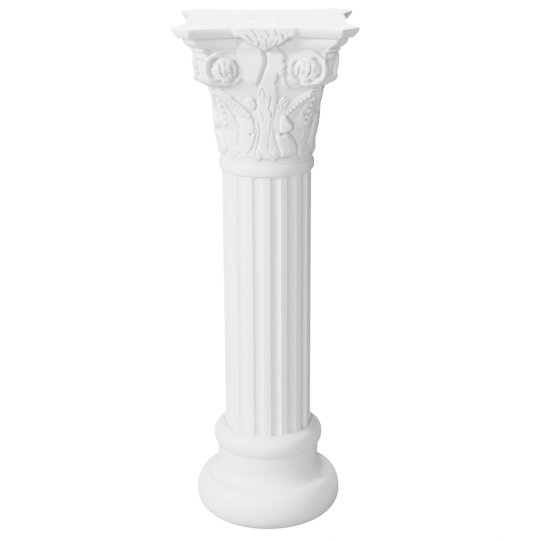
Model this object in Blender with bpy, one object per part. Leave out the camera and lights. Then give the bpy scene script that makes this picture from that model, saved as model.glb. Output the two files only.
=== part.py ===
"""A plastic column: a moulded base, a fluted shaft and a leafy capital.

The column stands on the ground plane with its axis on Z and its front to -Y.
Sizes are in metres. The moulded pieces are first worked out in design
millimetres, the size of the column in the photo, and then mapped to the
sizes named below.
"""
import math

import bmesh
import bpy
import numpy as np
from mathutils import Matrix

# Driving sizes
COLUMN_HEIGHT = 0.862
CAPITAL_HEIGHT = 0.2445
CAPITAL_WIDTH = 0.290
BASE_HEIGHT = 0.166
BASE_DIAMETER = 0.2516
SHAFT_DIAMETER = 0.149
FLUTE_COUNT = 16
FLUTE_SHARE = 0.62
FLUTE_DEPTH = 0.0042
BASE_SOCKET_DEPTH = 0.012
CAPITAL_SOCKET_DEPTH = 0.012
SOCKET_CLEARANCE = 0.0008
REST_GAP = 0.0003
TOP_HOLE_DIAMETER = 0.012
TOP_HOLE_DEPTH = 0.010

# How finely the surfaces are cut
BASE_SEGMENTS = 48
FLUTE_SEGMENTS = 5
FACE_COLUMNS = 72
CAPITAL_TRIANGLES = 6300

# The design the moulded pieces are drawn in, millimetres
DESIGN_SOCKET_RADIUS = 74.7
DESIGN_CAPITAL_BOTTOM = 617.5
DESIGN_TOP = 862.0
DESIGN_HALF_WIDTH = 145.0
DESIGN_BASE_RADIUS = 125.8
DESIGN_BASE_HEIGHT = 166.0
HOLE_PLACES = ((-24.0, 0.0), (21.0, 0.0), (-24.0, 47.0), (21.0, 47.0))


def smooth(t):
    """Ease from 0 to 1 as t goes from 0 to 1."""
    t = np.clip(t, 0.0, 1.0)
    return t * t * (3.0 - 2.0 * t)


def path_distance(x, z, points):
    """Distance to a chain of straight lines, how far along it the nearest point
    is, 0 to 1, whether the path has it on its left, and the length of the path."""
    best = np.full(x.shape, 1e9)
    along = np.zeros(x.shape)
    left = np.zeros(x.shape, bool)
    lengths = [math.dist(a, b) for a, b in zip(points[:-1], points[1:])]
    total, done = sum(lengths), 0.0
    for (ax, az), (bx, bz), length in zip(points[:-1], points[1:], lengths):
        t = ((x - ax) * (bx - ax) + (z - az) * (bz - az)) / (length * length)
        t = np.clip(t, 0.0, 1.0)
        d = np.hypot(x - ax - t * (bx - ax), z - az - t * (bz - az))
        near = d < best
        best = np.where(near, d, best)
        along = np.where(near, (done + t * length) / total, along)
        left = np.where(near, (bx - ax) * (z - az) > (bz - az) * (x - ax), left)
        done += length
    return best, along, left, total


def depth_inside(x, z, points):
    """Distance to the outline of an area, positive inside it."""
    closed = list(points) + [points[0]]
    d = path_distance(x, z, closed)[0]
    inside = np.zeros(x.shape, bool)
    for (ax, az), (bx, bz) in zip(closed[:-1], closed[1:]):
        if az != bz:
            crosses = (az > z) != (bz > z)
            inside ^= crosses & (x < ax + (z - az) * (bx - ax) / (bz - az))
    return np.where(inside, d, -d)


def mound(d, edge):
    """Share of the full height, 0 to 1, over a rounded edge: d is the distance
    inside the area."""
    t = np.clip(d / edge, 0.0, 1.0)
    return np.sqrt(np.clip(1.0 - (1.0 - t) ** 2, 0.0, 1.0))


def groove(x, z, points, width, depth):
    """Depth of a rounded groove along a path, fading at both ends."""
    d, along, _, total = path_distance(x, z, points)
    ends = smooth(np.minimum(along, 1.0 - along) * total / 3.0 + 0.3)
    return depth * ends * (1.0 - smooth(d / (0.5 * width)))


def dome(x, z, cx, cz, wide, tall, height):
    """A round boss, or with a negative height a round pit."""
    d = np.hypot((x - cx) / wide, (z - cz) / tall)
    return height * np.sqrt(np.clip(1.0 - d * d, 0.0, 1.0))


def petal(x, z, foot, tip, width, height):
    """A petal with a rounded back and a sunk midrib, rising to its tip."""
    ux, uz = tip[0] - foot[0], tip[1] - foot[1]
    length = math.hypot(ux, uz)
    t = ((x - foot[0]) * ux + (z - foot[1]) * uz) / (length * length)
    across = ((x - foot[0]) * uz - (z - foot[1]) * ux) / length
    half = width * np.sqrt(np.clip(np.sin(math.pi * np.clip(t, 0.0, 1.0) ** 1.3), 0.0, 1.0))
    e = across / np.maximum(half, 0.01)
    body = np.sqrt(np.clip(1.0 - e * e, 0.0, 1.0)) * (0.55 + 0.45 * np.clip(t, 0.0, 1.0))
    return height * body * (1.0 - 0.22 * (1.0 - smooth(np.abs(across) / 1.6)))


def bead_row(x, z, points, count, sizes, height):
    """Height of a row of round beads along a path."""
    lengths = np.array([math.dist(a, b) for a, b in zip(points[:-1], points[1:])])
    at = np.concatenate([[0.0], np.cumsum(lengths)])
    where = np.linspace(0.0, at[-1], count)
    px = np.interp(where, at, [p[0] for p in points])
    pz = np.interp(where, at, [p[1] for p in points])
    rise = np.zeros(x.shape)
    for cx, cz, share in zip(px, pz, np.linspace(0.0, 1.0, count)):
        radius = sizes[0] + (sizes[1] - sizes[0]) * share
        rise = np.maximum(rise, dome(x, z, cx, cz, radius, radius, height * radius))
    return rise


# The carving of a face, in millimetres across from its middle and up. Each row
# starts with the half it is on: -1 left, 1 right, 0 both, and is drawn as on the
# right half.

# Raised areas: height at the middle line, rise per millimetre across, edge, outline
LEAVES = (
    (0, 2.2, 0.0, 7.0, ((8, 650), (30, 652), (52, 648), (62, 700), (56, 736), (34, 734), (16, 742),
                        (10, 722), (7, 690))),
    (-1, 4.6, 0.0, 6.0, ((19, 713), (26, 722), (40, 718), (43, 700), (43, 672), (34, 659), (24, 660),
                         (17, 680), (14, 696))),
    (1, 5.2, 0.09, 9.0, ((16, 694), (36, 693), (45, 681), (49, 668), (47, 658), (38, 653), (24, 652),
                         (14, 672))),
    (0, 3.6, 0.0, 6.0, ((52, 710), (50, 690), (50, 676), (48.5, 662), (54, 647), (60, 645), (92, 660),
                        (96, 708))),
    (0, -11.0, 0.29, 3.0, ((48, 699), (57, 699), (59, 710), (59, 720), (56, 728), (51, 724), (46, 714))),
    (-1, 4.6, 0.0, 7.5, ((15, 747), (13.5, 738), (17, 730), (25, 727), (33, 730), (37, 738), (35, 747),
                         (28, 752), (20, 751))),
    (1, 3.4, 0.0, 3.5, ((20, 746), (20, 736), (23, 729), (30, 729), (35, 738), (37, 748), (28, 752))),
    (1, 2.4, 0.0, 2.5, ((25, 790), (22.5, 782), (26, 772), (33, 765), (37, 766), (31, 778), (29.5, 789))),
    (1, 3.4, 0.0, 5.0, ((-3.5, 791), (-9, 775), (-13, 752), (-16, 731), (-12, 713), (-9.5, 700), (-10, 687),
                        (-13, 674), (-17, 663), (-17, 655), (-13, 648), (17, 648), (22, 655), (21, 665),
                        (15, 682), (12, 700), (12, 713), (16, 732), (19, 752), (17, 775), (13, 791))),
)

# The leaf rim under the upper string of beads, and its inner slope
RIM = ((19, 716), (20, 726), (36, 741), (52, 754), (84, 772), (94, 768), (84, 762), (66, 747), (52, 734),
       (40, 722), (31, 716))
RIM_SLOPE = ((66, 762), (50, 750), (36, 739), (24, 727), (20, 716))

# Raised areas with one long slope: the same, then the slope's width, its path
# with the area on the left, and how far the area takes to rise from its foot
SLOPES = (
    (1, 6.0, 0.0, 4.5, ((-6, 842), (14, 842), (20, 828), (26, 824), (31, 817), (30, 812), (27, 809.5),
                        (31, 805), (31, 800), (28, 797.5), (31, 793), (28, 787), (21, 785), (17, 772),
                        (18, 752), (-18, 752)),
     5.0, ((-2.5, 836), (1.5, 824), (3.5, 815), (2.5, 803), (-2, 791), (-9, 770), (-13, 752)), 42.0),
    (-1, 8.4, -0.14, 13.0, ((-6, 846), (24, 846), (44, 828), (46, 808), (40, 788), (26, 770), (9, 764),
                            (-8, 784), (-12, 815)),
     7.0, ((5, 836), (5, 824), (2, 815), (3.5, 803), (8, 791), (13, 774)), 16.0),
    (1, 0.0, 0.24, 3.0, ((12, 694), (12, 722), (32, 722), (36, 714), (42, 708), (42, 699), (35, 693),
                         (26, 691)),
     6.0, ((27, 728), (23, 718), (21.5, 706), (22, 690)), 3.0),
    (-1, 7.2, -0.045, 4.0, RIM, 9.0, RIM_SLOPE, 3.0),
    (1, 2.2, 0.012, 4.0, RIM, 11.0, RIM_SLOPE, 3.0),
    (0, 2.6, 0.0, 4.0, ((66, 750), (40, 735), (36, 715), (36, 696), (96, 696), (98, 768)),
     5.0, ((60, 735), (50, 722), (46, 712), (44.5, 696)), 4.0),
)

# The curl at the stalk's foot, and round pits: middle, half width, half height, rise
CURL = (13.0, 657.0, 7.0, 12.0, 4.6)
PITS = ((24.0, 691.0, 3.0, 2.5, -3.0), (39.0, 837.5, 5.5, 5.5, -10.0))

# Grooves: width, depth, path
GROOVES = (
    (0, 3.0, 1.0, ((39, 806), (36, 793), (39, 779), (46, 768))),
    (0, 4.0, 1.0, ((56, 702), (53, 684), (55, 667))),
    (0, 4.0, 1.0, ((65, 702), (61, 684), (61, 667))),
    (-1, 7.0, 3.4, ((52, 751), (36, 738), (24, 725), (18.5, 716), (17.5, 706))),
    (-1, 7.0, 2.6, ((58, 733), (48, 720), (42.5, 705), (43, 688), (45, 671))),
    (-1, 3.0, 2.2, ((18.5, 708), (17.8, 699), (21.5, 688))),
    (-1, 3.0, 2.6, ((20, 670), (25, 664), (30, 657))),
    (-1, 3.4, 2.4, ((42, 661), (47, 654), (53, 646))),
    (-1, 4.0, 3.4, ((20, 748), (15.5, 744), (14, 738), (17, 730))),
    (-1, 2.8, 2.4, ((13, 713), (9.5, 700), (10, 687), (13, 674), (17, 663), (17.3, 655), (13.3, 648))),
    (-1, 3.4, 3.0, ((10, 647), (5.4, 650), (5.6, 657))),
    (1, 4.6, 3.6, ((15, 682), (19, 669), (22.5, 661), (21.5, 651), (17, 648))),
    (1, 2.8, 2.0, ((8.7, 658), (11, 652), (16, 647.5))),
    (1, 2.8, 2.6, ((31.5, 750), (23, 743), (21.8, 733))),
    (1, 2.8, 3.0, ((36, 748), (27, 740), (25.3, 730))),
    (1, 5.4, 3.4, ((33, 722), (38, 712), (44, 707), (43, 699), (36, 693), (25, 690))),
    (1, 2.8, 2.6, ((37, 693), (45, 681), (48.5, 667), (47.5, 658), (55, 647))),
    (1, 2.6, 1.6, ((74, 752), (56, 733), (43, 719))),
    (1, 3.0, 0.6, ((30, 686), (31, 676), (33, 662))),
    (1, 3.0, 0.7, ((37, 688), (39, 676), (40, 664))),
    (1, 5.0, 3.8, ((19.5, 791), (18.5, 783), (15, 773))),
    (1, 3.2, 3.4, ((-6, 767), (-8, 759), (-10.8, 750))),
    (1, 2.8, 2.0, ((-4, 767), (0.2, 751))),
    (1, 3.0, 3.4, ((8.7, 753), (4.5, 731))),
    (1, 3.4, 3.6, ((6, 730), (9.5, 723), (8.6, 716))),
    (1, 3.4, 1.2, ((9, 713), (7.5, 698), (4, 684), (3.8, 664))),
    (1, 3.0, 1.4, ((-8, 730), (-4, 722), (-4, 712))),
)

# Strings of beads over the leaf's rim: path, number of beads, first and last
# radius, and height as a share of the radius
STRINGS = (
    (1, ((82, 767), (64, 751), (52, 741), (35, 725)), 10, (2.3, 3.1), 1.05),
    (-1, ((82, 767), (64, 751), (52, 741), (35, 725)), 10, (2.4, 2.8), 0.5),
    (-1, ((82, 760), (66, 746), (52, 735)), 8, (2.0, 2.2), 0.6),
)

# Outline of half the flower on the plate, where it ends, and the clefts between
# its petals, on a half as above
FLOWER = ((-9, 821), (0, 823), (7, 827), (16, 830), (27, 834), (33, 840), (37, 844), (46, 846), (54, 852),
          (54, 870), (-9, 870))
FLOWER_END = 53.0
CLEFTS = (
    (1, 3.6, 2.4, ((1, 846), (3, 838), (4.5, 829))),
    (1, 3.4, 3.4, ((1, 858), (5.5, 853), (6.5, 847))),
    (-1, 4.0, 3.6, ((20, 860), (15, 853), (11.5, 846))),
    (-1, 4.0, 3.4, ((29, 852), (22, 845), (16.5, 838))),
    (-1, 3.4, 3.0, ((28, 843), (23, 838), (20, 833))),
    (-1, 4.0, 3.0, ((9.5, 842), (9, 834), (11, 828))),
    (-1, 3.0, 1.6, ((5, 852), (3, 845))),
    (1, 3.8, 3.6, ((15, 860), (17.5, 855), (18.5, 850))),
    (1, 5.0, 4.6, ((26, 853), (28.5, 847), (29, 843))),
    (1, 3.2, 2.8, ((13, 843), (10.5, 839), (9.5, 835))),
    (1, 3.2, 3.0, ((21, 843), (17.5, 838), (14, 833))),
    (1, 3.0, 2.4, ((29, 839), (23, 835), (19, 831))),
    (1, 3.0, 1.4, ((36, 858), (34, 852))),
)

# The scroll, from its middle: petals of its flower and the clefts between them
SCROLL_PETALS = (
    ((2, -9), (3, 15), 4.0), ((8, -5), (12, 11), 4.0), ((-6, -4), (-6, 14), 4.5),
    ((1, -6), (-1.5, -28), 6.0),
)
SCROLL_GROOVES = (
    (3.8, 4.5, ((7, 7), (6.5, -2), (4, -8), (-1, -12))),
    (4.2, 5.0, ((-9, 8), (-11, 0), (-11.5, -5), (-14, -16))),
    (3.4, 3.5, ((-2, -8), (-6, -5), (-10, -3))),
    (3.0, 3.0, ((14, -18), (8, -18), (3, -14))),
    (8.0, 3.0, ((-9, -13), (-11, -25))),
)
SCROLL_MIDDLE = 62.5

# Distance of the flower's foot from the axis
FLOWER_FRONT = 124.5

# The carving is drawn as it is seen from a point in front of the face, on a
# surface that lies at these distances from the axis at these heights
EYE_DISTANCE = 2219.4
EYE_HEIGHT = 1121.8
DRAWN_ON = ((618, 78), (640, 79), (700, 85), (750, 94), (785, 108), (823, 112), (846, 118), (862, 129))

# Distance of the plain form from the axis at the middle of a face and at a corner
FORM = (
    (622.0, 76.0, 76.0), (638.5, 76.2, 76.2), (655.0, 77.2, 76.5), (669.0, 77.8, 78.0), (690.0, 82.6, 82.0),
    (703.0, 84.4, 84.5), (717.0, 85.0, 88.4), (730.0, 86.0, 95.3), (743.0, 88.5, 103.2), (750.0, 91.0, 106.8),
    (758.0, 94.0, 110.2), (763.0, 95.5, 113.4), (768.0, 97.0, 120.6), (774.0, 98.0, 130.5),
    (781.0, 99.0, 136.5), (796.0, 100.0, 139.5), (822.0, 100.0, 140.0),
)

# Plan that the bell goes over to at its corners: half width, start of the cut
# corner and how far the sides are sunk
BELL_PLAN = (115.0, 93.0, 10.0)

# The plate at heights up to its top: half width, start of the cut corner and how
# far its sides are sunk
PLATE = (
    (822.0, 111.5, 91.0, 11.5), (824.0, 112.5, 92.5, 12.0), (828.0, 116.0, 96.5, 14.0),
    (832.0, 121.5, 102.0, 17.0), (837.0, 126.6, 107.5, 20.5), (840.0, 128.4, 109.5, 22.0),
    (846.0, 129.5, 111.0, 23.5), (846.01, 135.0, 116.0, 24.0), (848.0, 137.8, 116.5, 24.3),
    (851.0, 140.6, 117.0, 24.6), (854.0, 143.2, 117.0, 24.9), (857.0, 145.0, 117.0, 25.2),
    (862.0, 145.0, 117.0, 25.5),
)


def on_half(x, half):
    """Distance across from the middle as the tables are drawn, on their half."""
    return np.abs(x) if half == 0 else half * x


def scroll(x, z, rise):
    """The corner scroll over the rise of the carving around it: a ring that is
    high on the outer side, a sunk ring and a dome with a flower."""
    u, w = np.abs(x) - SCROLL_MIDDLE, z - 796.0
    d = np.hypot(u, w)
    reach = np.hypot(u, np.where(w < 0.0, 1.18 * w, w))
    outer = smooth((u / np.maximum(d, 1.0) - 0.35) / 0.35) * smooth((w + 16.0) / 8.0)
    inner = smooth((-u - 5.0) / 7.0) * smooth((w + 20.0) / 5.0) * smooth((17.0 - w) / 6.0)
    side, low = smooth((u + 8.0) / 24.0), smooth((-w - 8.0) / 12.0)
    ring = 2.0 + 5.0 * side + 1.0 * low
    trough = 2.2 + 2.5 * side - 11.0 * outer - 9.5 * inner
    shape = trough + (ring - trough) * smooth((d - 20.5) / (3.6 + 3.4 * outer))
    shape += (3.0 + 5.5 * np.clip(1.0 - (d / 22.0) ** 2, 0.0, 1.0) - trough) * smooth((20.5 - d) / 2.4)
    shape -= 0.7 * np.exp(-((d - 27.0) / 1.3) ** 2) * (1.0 - side) * (1.0 - low)
    flower = np.zeros(x.shape)
    for foot, tip, half in SCROLL_PETALS:
        flower = np.maximum(flower, petal(u, w, foot, tip, half, 2.6))
    shape += flower
    for width, depth, path in SCROLL_GROOVES:
        shape -= groove(u, w, path, width, depth)
    return rise + (shape - rise) * smooth((31.5 - reach) / (1.2 + 4.0 * (1.0 - side) * (1.0 - low)))


def flower(x, z, back):
    """The flower on the plate, given as a rise over the surface behind, which
    lies at the distance back."""
    across = np.abs(x)
    front = FLOWER_FRONT + 3.0 * smooth((z - 828.0) / 22.0) - 12.0 * (1.0 - smooth((z - 820.0) / 18.0))
    for half, width, depth, path in CLEFTS:
        front -= groove(on_half(x, half), z, path, width, depth)
    ends = smooth((FLOWER_END - across) / 10.0)
    return np.maximum(front - back, 0.0) * smooth(depth_inside(across, z, FLOWER) / 5.0) * ends


def face_relief(x, z, back):
    """Rise of the carving of one face over the plain form, millimetres."""
    rise = np.zeros(x.shape)
    for half, height, tilt, edge, outline in LEAVES:
        across = on_half(x, half)
        rise = np.maximum(rise, (height + tilt * across) * mound(depth_inside(across, z, outline), edge))
    for half, height, tilt, edge, outline, width, path, foot in SLOPES:
        across = on_half(x, half)
        d, _, left, _ = path_distance(across, z, path)
        slope = smooth(np.where(left, d, -d) / width + 0.5)
        lowest = min(point[1] for point in outline)
        area = mound(depth_inside(across, z, outline), edge) * smooth((z - lowest) / foot)
        rise = np.maximum(rise, slope * (height + tilt * across) * area)
    rise = np.maximum(rise, dome(np.abs(x), z, *CURL))
    for pit in PITS:
        rise = rise + dome(np.abs(x), z, *pit)
    for half, width, depth, path in GROOVES:
        rise = rise - groove(on_half(x, half), z, path, width, depth)
    for half, path, count, sizes, share in STRINGS:
        rise = rise + bead_row(on_half(x, half), z, path, count, sizes, share)
    rise = scroll(x, z, rise)
    petals = flower(x, z, back)
    return np.where(petals > 0.0, np.maximum(rise, petals), rise)


def corner_relief(across, z):
    """Rise along the corner: the scroll band with its leaf, and the beads."""
    aside = np.abs(across)
    band = 5.0 * smooth((z - 762.0) / 9.0) * smooth((829.0 - z) / 3.0) * smooth((17.5 - aside) / 2.0)
    hollow = 2.5 * smooth((12.0 - aside) / 3.0) * smooth((814.0 - z) / 4.0) * smooth((z - 784.0) / 4.0)
    leaf = dome(across, z, 0.0, 818.0, 9.0, 8.0, 2.6)
    return band - hollow + leaf, bead_row(across, z, ((0, 764), (0, 704)), 7, (3.0, 4.6), 1.05)


def plate_radius(turn, half, cut, hollow):
    """Distance to a square with hollow sides and cut corners, at a turn from
    the middle of the side: half is its half width, cut where the corner cut
    starts and hollow how far the side is sunk."""
    s, c = np.abs(np.sin(turn)), np.cos(turn)
    a = hollow * s * s / (cut * cut)
    root = np.sqrt(np.maximum(c * c - 4.0 * a * (half - hollow), 0.0))
    side = np.where(a > 1e-9, (c - root) / np.maximum(2.0 * a, 1e-12), (half - hollow) / c)
    return np.minimum(side, (half + cut) / (s + c))


def plain_radius(turn, z):
    """Distance of the plain capital from the axis, design millimetres."""
    half, cut, hollow = BELL_PLAN
    near, far = half - hollow, (half + cut) / math.sqrt(2.0)
    share = (plate_radius(turn, half, cut, hollow) - near) / (far - near)
    heights = [row[0] for row in FORM]
    middle = np.interp(z, heights, [row[1] for row in FORM])
    corner = np.interp(z, heights, [row[2] for row in FORM])
    bell = middle + (corner - middle) * share
    levels = [row[0] for row in PLATE]
    plan = [np.interp(z, levels, [row[k] for row in PLATE]) for k in (1, 2, 3)]
    plate = plate_radius(turn, *plan)
    return np.where(z < 822.0, bell, plate)


def face_turns(columns):
    """Turns across a face, from the middle to both corners, with one column on
    each tip of the plate."""
    turns = (np.arange(columns) + 0.5 - 0.5 * columns) * 0.5 * math.pi / columns
    tip = math.atan2(PLATE[-1][2], PLATE[-1][1])
    for side in (-tip, tip):
        turns[np.argmin(np.abs(turns - side))] = side
    return turns


def capital_skin(turn, z):
    """The carved surface of a face in design millimetres, for turns from the
    middle of the face out to its corners: returns x, the distance to the
    front and z."""
    radius = plain_radius(turn, z)
    x, back = radius * np.sin(turn), radius * np.cos(turn)
    view = np.interp(z, [row[0] for row in DRAWN_ON], [row[1] for row in DRAWN_ON])
    seat = back + np.maximum(FLOWER_FRONT - back, 0.0) * smooth((z - 826.0) / 10.0)
    draw_z = z + (EYE_HEIGHT - z) / (EYE_DISTANCE - view) * (view - seat)
    draw_x = x * (EYE_DISTANCE - view) / (EYE_DISTANCE - seat)
    rise = face_relief(draw_x, draw_z, back)
    band, beads = corner_relief(radius * (math.pi / 4.0 - np.abs(turn)), z)
    corner = np.maximum(band - rise, 0.0) + beads
    lean = (math.pi / 4.0) * smooth((np.abs(turn) - 0.55) / 0.22) * np.sign(turn)
    diagonal = math.sqrt(0.5)
    out_x = x + rise * np.sin(lean) + corner * diagonal * np.sign(turn)
    out_y = back + rise * np.cos(lean) + corner * diagonal
    return out_x, out_y, z


def capital_ring(turns, z):
    """A ring of the carved surface right round the capital, at turns from the
    front and one height: returns x, y and z in design millimetres."""
    quarter = np.round(turns / (0.5 * math.pi)) * 0.5 * math.pi
    x, front, up = capital_skin(turns - quarter, np.full(turns.shape, z))
    return x * np.cos(quarter) + front * np.sin(quarter), x * np.sin(quarter) - front * np.cos(quarter), up


def spread_radius(radius, design_outer, outer):
    """Map a design distance from the axis so that the socket's design radius
    falls on the real socket and the design's outer radius on the real one."""
    socket = 0.5 * SHAFT_DIAMETER + SOCKET_CLEARANCE
    share = (radius - DESIGN_SOCKET_RADIUS) / (design_outer - DESIGN_SOCKET_RADIUS)
    return socket + (outer - socket) * share


def capital_points(x, y, z):
    """Map design millimetres of the capital to metres over its own bottom."""
    radius = np.hypot(x, y)
    scale = spread_radius(radius, DESIGN_HALF_WIDTH, 0.5 * CAPITAL_WIDTH) / radius
    rise = CAPITAL_HEIGHT / (DESIGN_TOP - DESIGN_CAPITAL_BOTTOM)
    return np.stack([x * scale, y * scale, (z - DESIGN_CAPITAL_BOTTOM) * rise], axis=-1)


def material(name, colour, roughness):
    """A plain plastic."""
    made = bpy.data.materials.new(name)
    made.use_nodes = True
    shader = made.node_tree.nodes["Principled BSDF"]
    shader.inputs["Base Color"].default_value = colour
    shader.inputs["Roughness"].default_value = roughness
    shader.inputs["Metallic"].default_value = 0.0
    return made


def new_object(name, mesh, bottom):
    """Put a mesh in the scene with its own bottom at a height."""
    made = bpy.data.objects.new(name, mesh)
    made.location.z = bottom
    bpy.context.scene.collection.objects.link(made)
    return made


def finish(made, smooth_angle, colour, roughness):
    """Give a piece its material and smooth shading with crisp edges."""
    made.data.shade_smooth()
    made.data.set_sharp_from_angle(angle=math.radians(smooth_angle))
    made.data.materials.clear()
    made.data.materials.append(material(made.name + "_plastic", colour, roughness))


def base_profile():
    """Outline of the base in design millimetres, from the foot to the lip."""
    quarter = np.linspace(0.0, 0.5 * math.pi, 6)
    profile = [(79.0 + 46.8 * math.sin(a) ** 0.9, 37.1 * (1.0 - math.cos(a))) for a in quarter]
    profile += [(105.1 + 20.7 * math.cos(a), 37.1 + 37.4 * math.sin(a)) for a in quarter[1:]]
    profile += [(105.1 - 18.0 * math.sin(a), 74.5 + 33.0 * (1.0 - math.cos(a))) for a in quarter[1:]]
    profile += [(87.8, 128.5)]
    for a in np.radians([-50.0, -28.0, -8.0, 12.0, 34.0, 57.0, 80.0]):
        tall = 17.9 if a > 0.0 else 20.3
        profile.append((80.8 + 13.6 * math.cos(a), 145.6 + tall * math.sin(a)))
    return profile + [(80.0, DESIGN_BASE_HEIGHT)]


def make_base():
    """The turned base with the round recess for the shaft."""
    socket = 0.5 * SHAFT_DIAMETER + SOCKET_CLEARANCE
    rise = BASE_HEIGHT / DESIGN_BASE_HEIGHT
    outline = [(0.0, 0.0)]
    for r, z in base_profile():
        outline.append((spread_radius(r, DESIGN_BASE_RADIUS, 0.5 * BASE_DIAMETER), z * rise))
    floor = BASE_HEIGHT - BASE_SOCKET_DEPTH
    outline += [(socket, BASE_HEIGHT), (socket, floor), (0.0, floor)]
    work = bmesh.new()
    points = [work.verts.new((r, 0.0, z)) for r, z in outline]
    edges = [work.edges.new(pair) for pair in zip(points[:-1], points[1:])]
    bmesh.ops.spin(work, geom=points + edges, cent=(0, 0, 0), axis=(0, 0, 1),
                   angle=2.0 * math.pi, steps=BASE_SEGMENTS)
    bmesh.ops.remove_doubles(work, verts=work.verts, dist=1e-6)
    bmesh.ops.recalc_face_normals(work, faces=work.faces)
    mesh = bpy.data.meshes.new("base")
    work.to_mesh(mesh)
    work.free()
    return new_object("base", mesh, 0.0)


def flute_outline():
    """Plan points round the shaft: each flute is sunk between two fillets."""
    pitch = 2.0 * math.pi / FLUTE_COUNT
    outline = []
    for k in range(FLUTE_COUNT):
        for j in range(FLUTE_SEGMENTS + 1):
            across = -1.0 + 2.0 * j / FLUTE_SEGMENTS
            turn = (k + 0.5 + 0.5 * FLUTE_SHARE * across) * pitch
            radius = 0.5 * SHAFT_DIAMETER - FLUTE_DEPTH * (1.0 - across * across) ** 0.7
            outline.append((radius * math.sin(turn), -radius * math.cos(turn), 0.0))
    return outline


def make_shaft():
    """The fluted shaft, standing in the base and up into the capital."""
    low = BASE_HEIGHT - BASE_SOCKET_DEPTH + REST_GAP
    high = COLUMN_HEIGHT - CAPITAL_HEIGHT + CAPITAL_SOCKET_DEPTH - REST_GAP
    work = bmesh.new()
    foot = work.faces.new([work.verts.new(p) for p in flute_outline()])
    grown = bmesh.ops.extrude_face_region(work, geom=[foot], use_keep_orig=True)
    top = [v for v in grown["geom"] if isinstance(v, bmesh.types.BMVert)]
    bmesh.ops.translate(work, verts=top, vec=(0.0, 0.0, high - low))
    bmesh.ops.recalc_face_normals(work, faces=work.faces)
    mesh = bpy.data.meshes.new("shaft")
    work.to_mesh(mesh)
    work.free()
    return new_object("shaft", mesh, low)


def capital_rows():
    """Rings of the capital from its socket round its outside to the top."""
    turns = np.concatenate([face_turns(FACE_COLUMNS) + k * 0.5 * math.pi for k in range(4)])
    sines, cosines = np.sin(turns), np.cos(turns)
    socket = 0.5 * SHAFT_DIAMETER + SOCKET_CLEARANCE
    rows = []
    for height in (CAPITAL_SOCKET_DEPTH, 0.5 * CAPITAL_SOCKET_DEPTH, 0.0):
        rows.append(np.stack([socket * sines, -socket * cosines, np.full(turns.shape, height)], axis=-1))
    collar = [(75.4, 617.5)]
    collar += [(75.6 + 3.3 * math.cos(a), 627.5 + 9.5 * math.sin(a))
               for a in np.radians(np.linspace(-62, 75, 8))]
    for radius, z in collar + [(76.2, 639.0)]:
        rows.append(capital_points(radius * sines, -radius * cosines, np.full(turns.shape, z)))
    heights = np.concatenate([np.arange(641.0, 822.0, 2.2), np.arange(822.0, 845.9, 2.4),
                              [845.99, 846.02, 848.0, 851.0, 854.0, 857.0, 861.0, DESIGN_TOP]])
    for z in heights:
        x, y, up = capital_ring(turns, z)
        inward = 1.0 - 0.006 * max(0.0, z - 861.0)
        rows.append(capital_points(x * inward, y * inward, up))
    return rows


def make_capital():
    """The moulded capital: a closed grid of rings, thinned where it is plain."""
    rows = capital_rows()
    count = len(rows[0])
    points = np.concatenate(rows + [rows[0].mean(axis=0)[None], rows[-1].mean(axis=0)[None]])
    faces = []
    for r in range(len(rows) - 1):
        for k in range(count):
            a, b = r * count + k, r * count + (k + 1) % count
            faces.append((a, b, b + count, a + count))
    last = (len(rows) - 1) * count
    ceiling, top = len(rows) * count, len(rows) * count + 1
    for k in range(count):
        faces.append(((k + 1) % count, k, ceiling))
        faces.append((last + k, last + (k + 1) % count, top))
    mesh = bpy.data.meshes.new("capital")
    mesh.from_pydata(points.tolist(), [], faces)
    capital = new_object("capital", mesh, COLUMN_HEIGHT - CAPITAL_HEIGHT)
    thin = capital.modifiers.new("thin", "DECIMATE")
    thin.ratio = CAPITAL_TRIANGLES / (2.0 * count * len(rows))
    thin.use_collapse_triangulate = True
    return capital


def top_holes():
    """One cutter for the four round holes in the top face."""
    spread = CAPITAL_WIDTH / (2.0 * DESIGN_HALF_WIDTH)
    work = bmesh.new()
    for across, back in HOLE_PLACES:
        place = Matrix.Translation((across * spread, back * spread, 0.0))
        bmesh.ops.create_cone(work, cap_ends=True, segments=16, radius1=0.5 * TOP_HOLE_DIAMETER,
                              radius2=0.5 * TOP_HOLE_DIAMETER, depth=2.0 * TOP_HOLE_DEPTH, matrix=place)
    mesh = bpy.data.meshes.new("top_hole_cutter")
    work.to_mesh(mesh)
    work.free()
    cutter = new_object("top_hole_cutter", mesh, COLUMN_HEIGHT)
    cutter.hide_render = True
    cutter.display_type = "WIRE"
    return cutter


def apply_modifiers(made):
    """Turn an object's modifiers into mesh."""
    bpy.context.view_layer.update()
    graph = bpy.context.evaluated_depsgraph_get()
    mesh = bpy.data.meshes.new_from_object(made.evaluated_get(graph))
    mesh.name = made.name
    made.modifiers.clear()
    made.data = mesh


def main():
    for old in list(bpy.context.scene.objects):
        bpy.data.objects.remove(old, do_unlink=True)
    base = make_base()
    shaft = make_shaft()
    capital = make_capital()
    apply_modifiers(capital)
    cut = capital.modifiers.new("holes", "BOOLEAN")
    cut.operation = "DIFFERENCE"
    cut.solver = "EXACT"
    cut.object = top_holes()
    finish(base, 35.0, (0.80, 0.80, 0.78, 1.0), 0.4)
    finish(shaft, 25.0, (0.80, 0.80, 0.78, 1.0), 0.4)
    finish(capital, 35.0, (0.80, 0.80, 0.78, 1.0), 0.45)


main()
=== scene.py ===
"""A plastic column, dressed: base, fluted shaft and leafy capital in white
moulded plastic, on a pale floor in soft studio light.

The moulded pieces are worked out in design millimetres, the size of the column
as measured, and then fitted to the frame's own boxes.
"""
import math

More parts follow.
